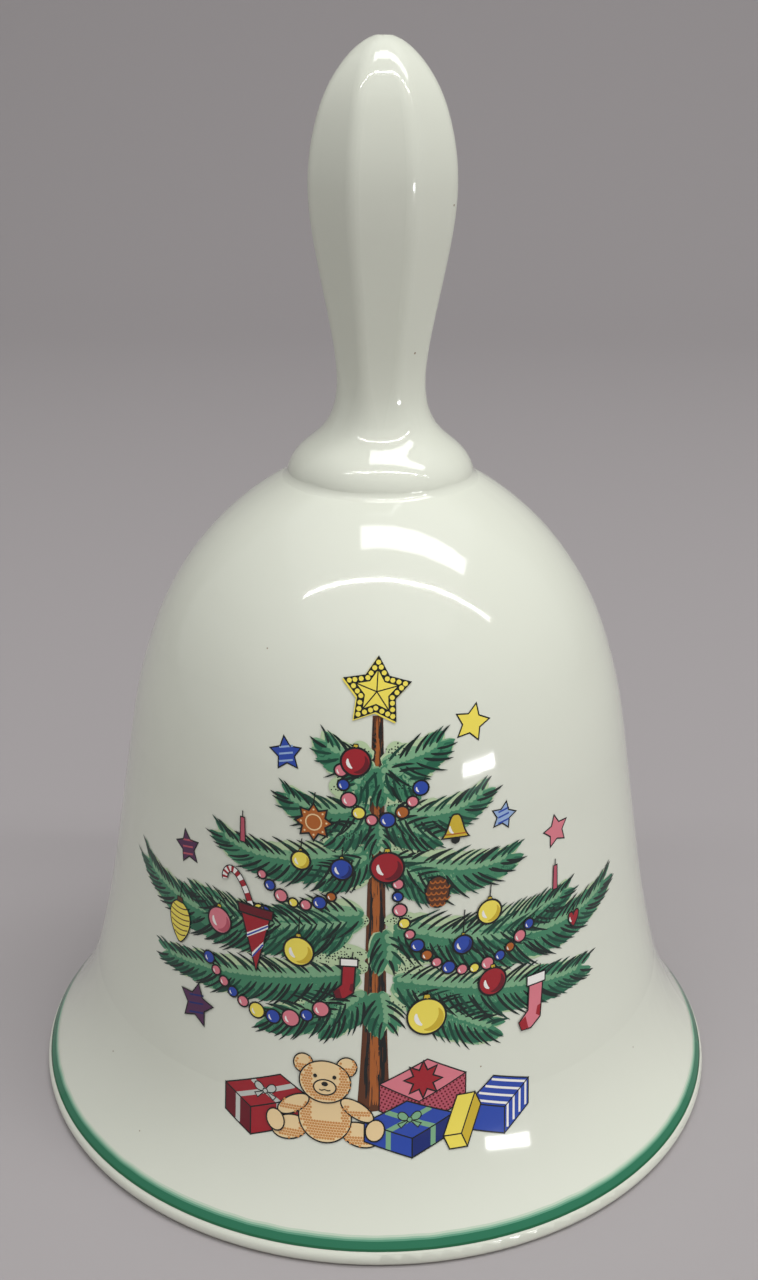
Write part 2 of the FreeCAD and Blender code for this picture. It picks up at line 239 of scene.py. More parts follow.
class Wall:
    """Places a drawing on the bell: u to the right along the wall, v up along it, both in mm."""

    def __init__(self):
        self.heights, self.radii, self.slopes = read_wall()
        self.fine = np.arange(self.heights[0], self.heights[-1], FINE_STEP)
        slope = self.profile(self.fine)[1]
        run = np.concatenate([[0.0], np.cumsum(np.hypot(1.0, slope[1:]) * FINE_STEP)])
        self.climb = run - np.interp(PAINT_FOOT, self.fine, run)

    def profile(self, height):
        """Radius and slope at a height, by cubic curves through the rings and their slopes."""
        after = np.clip(np.searchsorted(self.heights, height), 1, len(self.heights) - 1)
        low, high = self.heights[after - 1], self.heights[after]
        span = high - low
        t = (height - low) / span
        r0, r1 = self.radii[after - 1], self.radii[after]
        m0, m1 = self.slopes[after - 1] * span, self.slopes[after] * span
        radius = ((2 * t**3 - 3 * t**2 + 1) * r0 + (t**3 - 2 * t**2 + t) * m0
                  + (3 * t**2 - 2 * t**3) * r1 + (t**3 - t**2) * m1)
        slope = ((6 * t**2 - 6 * t) * r0 + (3 * t**2 - 4 * t + 1) * m0
                 + (6 * t - 6 * t**2) * r1 + (3 * t**2 - 2 * t) * m1) / span
        return radius, slope

    def lay(self, u, v, lift):
        """Points and outward normals for drawing places that stand lift above the glaze."""
        height = np.interp(v, self.climb, self.fine)
        radius, slope = self.profile(height)
        turn = u / radius
        lean = np.arctan(-slope)
        out = radius + lift * np.cos(lean)
        points = np.stack([out * np.sin(turn), -out * np.cos(turn), height + lift * np.sin(lean)], 1)
        normals = np.stack([np.cos(lean) * np.sin(turn), -np.cos(lean) * np.cos(turn), np.sin(lean)], 1)
        return points * MM, normals


wall = Wall()


# ---------------------------------------------------------------- paint
INKS = {
    "ink": (24, 28, 28),
    "pen": (20, 38, 34),
    "pale_leaf": (184, 206, 164),
    "soft_leaf": (126, 174, 134),
    "leaf": (66, 132, 98),
    "deep_leaf": (36, 100, 74),
    "night_leaf": (22, 66, 52),
    "bark": (92, 52, 30),
    "warm_bark": (170, 96, 44),
    "red": (160, 34, 44),
    "deep_red": (104, 22, 34),
    "pink": (218, 124, 136),
    "deep_pink": (184, 84, 100),
    "yellow": (240, 222, 92),
    "deep_yellow": (206, 178, 52),
    "blue": (44, 74, 168),
    "deep_blue": (28, 44, 112),
    "pale_blue": (150, 176, 214),
    "brown": (176, 98, 40),
    "tan": (236, 208, 158),
    "fur": (206, 142, 80),
    "plum": (84, 44, 82),
    "white": (240, 238, 232),
    "grey": (196, 200, 192),
    "line_dark": (26, 92, 60),
    "line_green": (42, 114, 84),
    "line_soft": (96, 154, 126),
    "line_pale": (150, 188, 162),
    "line_faint": (196, 212, 192),
}
# Shapes of one level stand a hair apart, in a cycle, so that neighbours do not coincide.
CYCLE = 97
CYCLE_RISE = 0.4
# The edge length of a small round outline, in mm.
ROUND_STEP = 0.35


def ink_material(name):
    """One fired-on enamel colour under the same gloss as the glaze."""
    shader = Shader("enamel_" + name, Base_Color=(*linear(*INKS[name]), 1.0), **GLAZE)
    add_glaze_relief(shader, shader.place())
    return shader.material


inks = {name: ink_material(name) for name in INKS}


def curve(points, count):
    """Points along the Bezier curve of any number of control points."""
    t = np.linspace(0.0, 1.0, count)[:, None]
    layers = [np.asarray(point, float) + 0 * t for point in points]
    while len(layers) > 1:
        layers = [(1 - t) * a + t * b for a, b in zip(layers, layers[1:])]
    return layers[0]


def measured(points, count):
    """A Bezier curve and the length run through up to each of its points."""
    path = curve(points, count)
    run = np.concatenate([[0.0], np.cumsum(np.hypot(*np.diff(path, axis=0).T))])
    return path, run


def point_at(path, run, length):
    """The point that lies a given length along a path."""
    return np.array([np.interp(length, run, path[:, axis]) for axis in (0, 1)])


def circle(centre, radius, squash=1.0, turn=0.0, count=0):
    """The outline of an ellipse: radius across, radius times squash up, turned in degrees."""
    count = count or max(10, int(2 * math.pi * radius / ROUND_STEP))
    angle = np.linspace(0.0, 2 * math.pi, count, endpoint=False)
    return moved(np.stack([radius * np.cos(angle), radius * squash * np.sin(angle)], 1), centre, turn)


def moved(points, centre, turn=0.0):
    """Points turned about the origin, in degrees, and carried to centre."""
    c, s = math.cos(math.radians(turn)), math.sin(math.radians(turn))
    return np.asarray(points, float) @ np.array([[c, s], [-s, c]]) + centre


def finely(outline, closed=True):
    """The same outline with no edge longer than the mesh step."""
    ends = np.roll(outline, -1, axis=0) if closed else outline[1:]
    starts = outline if closed else outline[:-1]
    pieces = []
    for start, end in zip(starts, ends):
        parts = max(1, math.ceil(np.hypot(*(end - start)) / MESH_STEP))
        pieces.append(start + (end - start) * np.arange(parts)[:, None] / parts)
    if not closed:
        pieces.append(outline[-1:])
    return np.concatenate(pieces)


def inside(places, outline):
    """Which places lie inside a closed outline."""
    within = np.zeros(len(places), bool)
    for (u0, v0), (u1, v1) in zip(outline, np.roll(outline, -1, axis=0)):
        crosses = (v0 > places[:, 1]) != (v1 > places[:, 1])
        if crosses.any():
            reach = u0 + (places[:, 1] - v0) * (u1 - u0) / (v1 - v0)
            within ^= crosses & (places[:, 0] < reach)
    return within


class Paint:
    """Flat shapes in enamel colours, laid on the wall in levels as one piece."""

    def __init__(self, name):
        self.name = name
        self.count = 0
        self.places, self.lifts, self.faces, self.colours = [], [], [], []

    def add(self, places, faces, colour, level):
        """Adds faces whose corners count from the first of these places."""
        lift = PAINT_LIFT + LEVEL_STEP * (level + CYCLE_RISE * (self.count % CYCLE) / CYCLE)
        first = sum(len(block) for block in self.lifts)
        self.places.append(np.asarray(places, float))
        self.lifts.append(np.full(len(places), lift))
        self.faces += [tuple(first + corner for corner in face) for face in faces]
        self.colours += [colour] * len(faces)
        self.count += 1

    def ribbon(self, path, widths, colour, level, closed=False):
        """A strip along a path; widths holds its full width at each point."""
        path = np.asarray(path, float)
        if closed:
            ahead = np.roll(path, -1, axis=0) - path
            behind = path - np.roll(path, 1, axis=0)
        else:
            ahead = np.diff(path, axis=0, append=path[-1:] + (path[-1:] - path[-2:-1]))
            behind = np.diff(path, axis=0, prepend=path[:1] - (path[1:2] - path[:1]))
        ahead /= np.maximum(np.hypot(*ahead.T), 1e-9)[:, None]
        behind /= np.maximum(np.hypot(*behind.T), 1e-9)[:, None]
        along = ahead + behind
        along /= np.maximum(np.hypot(*along.T), 1e-9)[:, None]
        mitre = np.clip((along * ahead).sum(axis=1), 0.5, 1.0)
        left = np.stack([-along[:, 1], along[:, 0]], 1) * (np.asarray(widths) / 2 / mitre)[:, None]
        count = len(path)
        last = count if closed else count - 1
        faces = [(n, (n + 1) % count, count + (n + 1) % count, count + n) for n in range(last)]
        self.add(np.concatenate([path - left, path + left]), faces, colour, level)

    def stroke(self, path, width, colour, level):
        """A brush stroke: quick to its full width, then a long taper to a point."""
        t = np.linspace(0.0, 1.0, len(path))
        shape = np.minimum(1.0, 0.35 + 3.5 * t) * np.sqrt(np.maximum(1.0 - t**2.2, 0.0))
        self.ribbon(path, np.maximum(width * shape, 0.02), colour, level)

    def line(self, path, width, colour="ink", level=0, closed=False):
        """An even pen line, open or round an outline."""
        path = finely(np.asarray(path, float), closed)
        self.ribbon(path, np.full(len(path), width), colour, level, closed)

    def fan(self, outline, colour, level):
        """A small shape filled from its middle."""
        count = len(outline)
        faces = [(n, (n + 1) % count, count) for n in range(count)]
        self.add(np.concatenate([outline, [outline.mean(axis=0)]]), faces, colour, level)

    def fill(self, outline, colour, level):
        """A filled outline, split finely enough to follow the wall."""
        edge = finely(np.asarray(outline, float))
        low, high = edge.min(axis=0), edge.max(axis=0)
        columns = np.arange(low[0], high[0], MESH_STEP)
        rows = np.arange(low[1], high[1], MESH_STEP)
        grid = np.stack(np.meshgrid(columns, rows), -1).reshape(-1, 2) + MESH_STEP / 2
        grid = grid[inside(grid, edge)]
        apart = (grid[:, None] - edge[None]).transpose(2, 0, 1)
        clear = (np.hypot(*apart) > 0.3 * MESH_STEP).all(axis=1)
        corners = [Vector(place) for place in np.concatenate([edge, grid[clear]])]
        border = [list(range(len(edge)))]
        places, _, faces, _, _, _ = delaunay_2d_cdt(corners, [], border, 1, 1e-5)
        places = np.array([tuple(place) for place in places])
        upright = []
        for a, b, c in faces:
            area = np.cross(places[b] - places[a], places[c] - places[a])
            upright.append((a, b, c) if area > 0 else (a, c, b))
        self.add(places, upright, colour, level)

    def shape(self, outline, colour, level, pen=0.24):
        """A filled shape with an ink outline."""
        self.fill(outline, colour, level)
        self.line(outline, pen, "ink", level + 1, closed=True)

    def dot(self, centre, radius, colour, level):
        """A small round spot."""
        self.fan(circle(centre, radius, count=8), colour, level)

    def make(self):
        """Lays the drawing on the wall and hands it over as a piece."""
        places = np.concatenate(self.places)
        points, normals = wall.lay(places[:, 0], places[:, 1], np.concatenate(self.lifts))
        mesh = bpy.data.meshes.new(self.name)
        mesh.from_pydata(points.tolist(), [], self.faces)
        names = sorted(set(self.colours))
        for name in names:
            mesh.materials.append(inks[name])
        slots = [names.index(colour) for colour in self.colours]
        mesh.polygons.foreach_set("material_index", slots)
        mesh.polygons.foreach_set("use_smooth", [True] * len(self.faces))
        mesh.normals_split_custom_set_from_vertices(normals.tolist())
        piece = bpy.data.objects.new(self.name, mesh)
        bpy.context.scene.collection.objects.link(piece)
        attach(piece, "bell")


# ---------------------------------------------------------------- the fir tree
# Each bough is a Bezier curve from the trunk to its tip, with the reach of its needles.
# Tiers run from the ground up; a higher tier is painted over the one below.
TIERS = [
    [
        ([(-2, 25.6), (-10, 24.0), (-20, 22.2), (-29.6, 21.6)], 3.6),
        ([(2, 24.6), (10, 23.0), (20, 20.4), (28.6, 20.4)], 4.0),
        ([(-3, 22.6), (-7, 20.6), (-10, 19.0), (-13.6, 18.2)], 3.2),
        ([(4, 22.4), (8, 20.2), (11, 18.2), (14.4, 17.2)], 3.4),
        ([(-1, 23.0), (-3, 21.4), (-4.6, 20.0), (-6.0, 18.8)], 3.0),
        ([(0.2, 23.4), (0.4, 22.0), (0.8, 20.6), (1.0, 19.6)], 3.2),
    ],
    [
        ([(-3, 31.6), (-12, 29.6), (-26, 27.4), (-34.4, 31.8)], 4.0),
        ([(2, 31.4), (11, 28.6), (24, 25.4), (34.0, 29.6)], 4.2),
        ([(-12, 31.0), (-17, 30.8), (-21, 31.0), (-24.4, 31.6)], 2.8),
        ([(8, 30.4), (14, 29.4), (20, 29.8), (25.4, 31.6)], 3.4),
        ([(-1.6, 33.0), (-5, 33.0), (-9, 31.8), (-13.6, 31.0)], 3.6),
        ([(0.6, 31.2), (1.0, 30.0), (1.2, 29.0), (1.2, 27.8)], 3.0),
    ],
    [
        ([(-1.2, 41.2), (-7, 39.8), (-14, 37.6), (-19.8, 40.4)], 3.4),
        ([(1.2, 40.4), (6, 38.8), (11, 37.2), (16.4, 38.8)], 3.6),
        ([(-0.6, 40.6), (-2.5, 39.4), (-4.5, 38.2), (-6.2, 37.6)], 2.8),
        ([(0.6, 40.2), (3, 38.4), (5.6, 36.8), (7.6, 36.0)], 2.9),
    ],
    [
        ([(-1, 46.6), (-4, 45.6), (-7.5, 45.0), (-10.6, 47.2)], 3.0),
        ([(1, 46.4), (5, 45.0), (9, 44.8), (12.8, 47.6)], 3.1),
        ([(-0.6, 45.4), (-2.0, 44.4), (-3.6, 43.4), (-5.0, 43.0)], 2.6),
        ([(0.6, 45.4), (2.5, 44.4), (4.5, 43.4), (6.4, 43.0)], 2.7),
        ([(0, 45.2), (0, 44.2), (0.1, 43.4), (0.2, 42.8)], 2.5),
    ],
    [
        ([(-0.6, 52.6), (-2.6, 52.2), (-4.6, 52.4), (-6.0, 54.0)], 2.8),
        ([(0.6, 51.8), (2.6, 51.8), (5.0, 52.6), (7.0, 54.0)], 3.1),
        ([(-0.4, 51.8), (-1.4, 50.6), (-2.0, 49.8), (-2.4, 49.2)], 2.7),
        ([(0.2, 51.8), (0.4, 50.4), (0.6, 49.4), (0.8, 48.8)], 2.7),
        ([(0.6, 51.6), (2.0, 50.8), (3.2, 50.0), (4.0, 49.4)], 2.8),
    ],
]
TIER_LEVELS = 4
TRIM_LEVEL = 24
NEEDLE_LOOK_AHEAD = 0.3


def needles(paint, dice, spine, reach, spacing, width, level, upper, lower, first=0.0, last=1.0):
    """Strokes swept forward from a bough's spine, between the shares first and last of its length.

    upper and lower describe the strokes on the side that faces up and the side that faces down:
    their colours, where they start and how long they are, as shares of the reach.
    """
    path, run = measured(spine, 60)
    count = max(3, round((last - first) * run[-1] / spacing))
    for number in range(count):
        t = first + (last - first) * (number + dice.uniform(0.2, 0.8)) / count
        here = min(t * run[-1], run[-1] - NEEDLE_LOOK_AHEAD - 0.01)
        place = point_at(path, run, here)
        later = point_at(path, run, here + NEEDLE_LOOK_AHEAD)
        ahead = math.degrees(math.atan2(*(later - place)[::-1]))
        full = reach * (0.70 + 0.42 * math.sin(math.pi * min(1.0, 0.2 + 0.75 * t)))
        for side in (-1, 1):
            colours, start, length = upper if side * math.cos(math.radians(ahead)) > 0 else lower
            spread = side * (56 - 26 * t**2 + dice.uniform(-4, 4))
            start *= full
            length *= full * dice.uniform(0.88, 1.12)
            sweep = [(start, 0.0), (start + 0.5 * length, 0.0),
                     (start + length, -0.26 * side * length)]
            tuft = moved(curve(sweep, 7), place, ahead + spread)
            paint.stroke(tuft, width * dice.uniform(0.85, 1.15), dice.choice(colours), level)


def paint_bough(paint, dice, spine, reach, level):
    """One bough: washes from pale above to dark below, then long pen needles with an open tip."""
    pale, soft, leaf = ("pale_leaf",), ("soft_leaf",), ("leaf",)
    deep = ("deep_leaf", "deep_leaf", "leaf")
    pen = ("pen", "pen", "night_leaf")
    # Spacing, width, rise in level, the upper and the lower strokes, first and last share.
    washes = (
        (0.70, 2.0, 0.0, (pale, 0.0, 0.94), (pale, 0.0, 0.96), 0.0, 0.95),
        (0.55, 1.5, 0.6, (soft, 0.0, 0.54), (soft, 0.0, 0.96), 0.0, 0.97),
        (0.50, 1.2, 1.2, (leaf, 0.0, 0.36), (leaf, 0.0, 0.94), 0.0, 0.98),
        (0.70, 0.8, 1.8, (leaf, 0.3, 0.62), (deep, 0.40, 0.56), 0.60, 1.0),
        (0.62, 0.8, 2.2, (soft, 0.1, 0.30), (deep, 0.44, 0.50), 0.0, 0.95),
        (0.95, 0.37, 3, (pen, 0.26, 0.88), (pen, 0.16, 1.04), 0.0, 1.0),
    )
    for spacing, width, rise, upper, lower, first, last in washes:
        needles(paint, dice, spine, reach, spacing, width, level + rise, upper, lower, first, last)


def stipple(paint, dice, centre, half_width, half_height, level):
    """A pale patch under an even screen of pen dots that thins out toward its edge."""
    pitch, unsteady = 0.37, 0.07
    paint.fill(circle(centre, half_width, half_height / half_width), "pale_leaf", level)
    for across in np.arange(-half_width, half_width, pitch):
        for climb in np.arange(-half_height, half_height, pitch):
            depth = math.hypot(across / half_width, climb / half_height)
            if depth < dice.uniform(0.4, 1.1):
                shift = (across + dice.gauss(0, unsteady), climb + dice.gauss(0, unsteady))
                paint.dot(np.array(centre) + shift, dice.uniform(0.08, 0.12), "pen", level + 1)


def make_foliage():
    """The tiers of boughs, each with patches of dots beside the trunk below and above its root."""
    dice = random.Random(7)
    for number, tier in enumerate(TIERS):
        paint = Paint(f"painted_tier_{number + 1}")
        level = 2 + TIER_LEVELS * number
        for spine, reach in tier:
            paint_bough(paint, dice, spine, reach, level)
        first_spine = tier[0][0]
        root = first_spine[0][1]
        for side in (-1, 1):
            wide = 4.8 - 0.6 * number
            stipple(paint, dice, (side * (1.0 + wide), root - 3.4), wide, 1.5, level)
            stipple(paint, dice, (side * (0.9 + 0.5 * wide), root + 1.0), 0.5 * wide, 1.2, level - 0.5)
        paint.make()


def make_trunk():
    """A straight trunk, wider at the foot, streaked dark at its edges and warm along its middle."""
    top, streaks = 57.8, 330
    dice = random.Random(11)
    paint = Paint("painted_trunk")
    left = curve([(-2.3, 7.6), (-1.2, 20), (-1.2, 40), (-0.66, top)], 40)
    right = curve([(1.9, 8.2), (1.0, 20), (1.1, 40), (0.56, top)], 40)
    paint.fill(np.concatenate([right, left[::-1]]), "bark", 0)
    for _ in range(streaks):
        across = dice.uniform(-1, 1)
        start = dice.uniform(8.0, 56.0)
        width = 1.5 - 0.017 * start
        warm = abs(across + 0.1) < 0.42
        colour = "warm_bark" if warm else dice.choice(("ink", "ink", "bark"))
        end = min(top - 0.2, start + dice.uniform(1.5, 4.5))
        middle = (across * width + dice.uniform(-0.2, 0.2), (start + end) / 2)
        path = curve([(across * width, start), middle, (across * (width - 0.05), end)], 7)
        paint.stroke(path, dice.uniform(0.14, 0.3), colour, 1)
    paint.make()


# ---------------------------------------------------------------- things on the tree
def star_outline(points, radius, inner, turn=0.0):
    """A star with its first tip up."""
    angle = math.pi / 2 + math.pi * np.arange(2 * points) / points
    reach = np.where(np.arange(2 * points) % 2 == 0, radius, radius * inner)
    return moved(np.stack([reach * np.cos(angle), reach * np.sin(angle)], 1), (0, 0), turn)


def gleam(paint, centre, radius, level):
    """The painter's highlight, a short curved stroke low on the left."""
    arc = np.radians(np.linspace(165, 245, 7))
    path = np.stack([np.cos(arc), np.sin(arc)], 1) * radius * 0.55 + centre
    paint.ribbon(path, radius * 0.24 * np.sin(np.linspace(0.35, 2.8, 7)), "white", level)


def bead(paint, centre, radius, colour, level):
    """A small bead; only the larger ones have a highlight."""
    paint.shape(circle(centre, radius, 0.95), colour, level, 0.22)
    if radius > 0.6:
        gleam(paint, np.array(centre), radius, level + 1)


def bauble(paint, centre, radius, colour, shade, level, thread=0.0):
    """A glass ball with a shaded lower right side, a gleam, a cap and its thread."""
    centre = np.array(centre, float)
    if thread:
        paint.line([centre + (0, radius), centre + (0.15, radius + thread)], 0.14, "ink", level)
    paint.shape(circle(centre, radius, 0.96), colour, level, 0.26)
    arc = np.radians(np.linspace(-100, 35, 14))
    rim = np.stack([np.cos(arc), 0.96 * np.sin(arc)], 1)
    widths = radius * 0.36 * np.sin(np.linspace(0.15, math.pi - 0.15, 14))
    paint.ribbon(rim * radius * 0.74 + centre, widths, shade, level + 1)
    gleam(paint, centre + (0, 0.05 * radius), radius, level + 2)
    cap = np.array([(-0.2, 0.95), (0.2, 0.95), (0.14, 1.2), (-0.14, 1.2)]) * max(radius, 1.2) + centre
    paint.fill(cap, "deep_yellow", level + 1)
    paint.line(cap, 0.12, "ink", level + 2, closed=True)


def garland(paint, points, radii, colours, level):
    """A swag of beads; radii and colours repeat along it."""
    gap = 0.22
    path, run = measured(points, 80)
    paint.line(path, 0.13, "ink", level)
    place, number = radii[0], 0
    while place < run[-1]:
        radius = radii[number % len(radii)]
        colour = colours[number % len(colours)]
        bead(paint, point_at(path, run, place), radius, colour, level + 1 + number % 2)
        number += 1
        place += radius + radii[number % len(radii)] + gap


def tree_star(paint, centre, radius, level):
    """The topper: a folded star with a border of round studs."""
    def star(scale, shift=(0.0, 0.0)):
        return moved(star_outline(5, radius * scale, 0.56, -3), centre + shift)
    paint.fill(star(1.04, (-0.14, -0.16)), "yellow", level)
    paint.fill(star(1.04), "ink", level + 1)
    inner = star(0.62)
    paint.fill(inner, "yellow", level + 2)
    for tip in inner[::2]:
        paint.line([centre, tip], 0.15, "ink", level + 3)
    border = star(0.84)
    for start, end in zip(border, np.roll(border, -1, axis=0)):
        for share in (0.0, 0.36, 0.70):
            paint.dot(start + (end - start) * share, 0.30, "yellow", level + 3)


def small_star(paint, centre, radius, colour, turn, level, stripe=None):
    """A five-pointed star, plain or with three bands."""
    outline = moved(star_outline(5, radius, 0.52, turn), centre)
    paint.shape(outline, colour, level, 0.17)
    if stripe:
        band = np.array([(-0.42, -0.1), (0.42, 0.1)]) * radius + np.array(centre)
        for climb in (-0.4, 0.02, 0.4):
            paint.line(band + (0, climb * radius), 0.22, stripe, level + 1)


def tree_candle(paint, foot, level):
    """A small unlit candle."""
    body = np.array([(-0.38, 0), (0.38, 0), (0.3, 3.1), (-0.3, 3.1)]) + foot
    paint.shape(body, "deep_pink", level, 0.14)
    paint.line(np.array([(0, 3.1), (0, 3.9)]) + foot, 0.14, "ink", level + 1)


def stocking(paint, cuff, size, colour, shade, level):
    """A hanging stocking with a white cuff and a darker toe and heel."""
    cuff = np.array(cuff, float)
    leg = [(-0.30, 0.0), (-0.34, -1.05), (-0.72, -1.42), (-0.60, -1.74), (-0.20, -1.76),
           (0.22, -1.44), (0.32, 0.0)]
    paint.line([cuff + (0.1 * size, 0.1 * size), cuff + (0.2 * size, 0.6 * size)], 0.14, "ink", level)
    paint.shape(np.array(leg) * size + cuff, colour, level, 0.2)
    toe = [(-0.72, -1.42), (-0.60, -1.74), (-0.30, -1.75), (-0.44, -1.25)]
    heel = [(0.27, -0.95), (0.22, -1.44), (0.02, -1.30), (0.08, -1.0)]
    for patch in (toe, heel):
        paint.fill(np.array(patch) * size + cuff, shade, level + 1)
    band = [(-0.40, -0.12), (0.42, -0.12), (0.42, 0.26), (-0.40, 0.26)]
    paint.shape(np.array(band) * size + cuff, "white", level + 2, 0.18)


def gingerbread(paint, centre, radius, level):
    """A round biscuit with eight points, an iced ring and a dot of icing in each point."""
    tips = 8
    centre = np.array(centre, float)
    paint.line([centre + (0, radius), centre + (0.2, radius + 1.4)], 0.13, "ink", level)
    paint.shape(moved(star_outline(tips, radius, 0.66), centre), "brown", level, 0.22)
    paint.line(circle(centre, radius * 0.42), 0.16, "tan", level + 1, closed=True)
    for number in range(tips):
        icing = moved([(0, radius * 0.68)], centre, number * 360 / tips)[0]
        paint.dot(icing, 0.13, "tan", level + 2)


def fir_cone(paint, centre, width, level):
    """A hanging cone: rows of round scales."""
    centre = np.array(centre, float)
    arc = np.linspace(math.pi, 2 * math.pi, 7)
    paint.shape(circle(centre, width, 1.35), "bark", level, 0.2)
    for row in range(5):
        drop = (row - 2) * 0.5 * width
        half = width * math.sqrt(max(0.0, 1 - (drop / (1.35 * width)) ** 2))
        for side in np.arange(-half + 0.35, half - 0.1, 0.62):
            middle = centre + (side + 0.31 * (row % 2), -drop)
            scale = np.stack([0.3 * np.cos(arc), 0.34 * np.sin(arc)], 1) + middle
            paint.ribbon(scale, np.full(len(arc), 0.16), "brown", level + 1)


def gold_bell(paint, centre, height, level):
    """A small bell."""
    right = curve([(0.12, 1.0), (0.5, 0.95), (0.42, 0.35), (0.95, 0.0)], 12)
    outline = np.concatenate([right, right[::-1] * (-1, 1)]) * (0.62 * height, height) + centre
    paint.dot(np.array(centre) + (0, -0.08 * height), 0.2 * height, "ink", level)
    paint.shape(outline, "deep_yellow", level + 1, 0.2)
    paint.line(np.array([(-0.5, 0.16), (0.5, 0.16)]) * height + centre, 0.16, "brown", level + 2)
    gleam(paint, np.array(centre) + (0.05, 0.45 * height), 0.5 * height, level + 3)


def toy_heart(paint, centre, size, level):
    """A small red heart on a thread."""
    half = curve([(0, -1.0), (0.9, -0.3), (1.5, 1.1), (0.25, 1.25), (0, 0.45)], 16)
    centre = np.array(centre, float)
    outline = np.concatenate([half, half[-2:0:-1] * (-1, 1)]) * size + centre
    paint.line([centre + (0, 0.5 * size), centre + (0.1, 1.9 * size)], 0.13, "ink", level)
    paint.shape(outline, "red", level, 0.2)
    gleam(paint, centre + (-0.1, 0.2), size, level + 2)


def glass_drop(paint, centre, width, level):
    """A long ribbed ornament with a brown cap."""
    centre = np.array(centre, float)
    side = curve([(0.4, 1.8), (1.9, 1.2), (1.6, -0.9), (0.15, -2.1)], 16)
    outline = np.concatenate([side, side[::-1] * (-1, 1)]) * width + centre
    paint.line([centre + (0, 1.9 * width), centre + (0.3, 3.6 * width)], 0.13, "ink", level)
    paint.shape(outline, "yellow", level, 0.18)
    for number in range(6):
        drop = 1.25 - 0.52 * number
        half = np.interp(drop, side[::-1, 1], side[::-1, 0]) * 0.92
        path = curve([(-half, drop + 0.12), (0, drop - 0.28), (half, drop + 0.12)], 7) * width + centre
        paint.ribbon(path, np.full(7, 0.15), "bark", level + 1)
    cap = np.array([(-0.4, 1.75), (0.4, 1.75), (0.34, 2.25), (-0.34, 2.25)]) * width + centre
    paint.shape(cap, "bark", level + 1, 0.12)


def sweet_cone(paint, mouth, level):
    """A paper cone of sweets with a striped cane in it."""
    mouth = np.array(mouth, float)
    hook = curve([(-0.4, 0.4), (-1.6, 4.4), (-3.4, 6.6), (-4.6, 4.2), (-4.3, 3.4)], 30) + mouth
    paint.line(hook, 0.95, "ink", level)
    paint.line(hook, 0.68, "white", level + 1)
    for number in range(2, 28, 4):
        paint.line(hook[number:number + 3], 0.68, "red", level + 2)
    for place, colour in (((0.55, 0.75), "yellow"), ((1.35, 0.65), "blue"), ((-0.9, 0.4), "pink")):
        bead(paint, mouth + place, 0.72, colour, level + 3)
    cone = np.array([(-2.1, 0.5), (2.2, 0.3), (0.1, -7.4)]) + mouth
    paint.shape(cone, "red", level + 5, 0.2)
    for drop in (1.6, 4.1):
        left = cone[0] + (cone[2] - cone[0]) * (drop + 1.5) / 7.6
        right = cone[1] + (cone[2] - cone[1]) * (drop - 0.4) / 7.6
        band = np.array([left, right, right - (0, 0.62), left - (0, 0.62)])
        inward = (cone.mean(axis=0) - band) * 0.06
        paint.fill(band[[0, 3, 2, 1]] + inward[[0, 3, 2, 1]], "white", level + 7)
        paint.line([left + (0.1, -0.3), right + (-0.1, -0.3)], 0.2, "blue", level + 8)
    rim = np.array([(-2.4, 1.0), (2.5, 0.8), (2.3, -0.4), (-2.2, -0.2)]) + mouth
    paint.shape(rim, "deep_red", level + 9, 0.2)


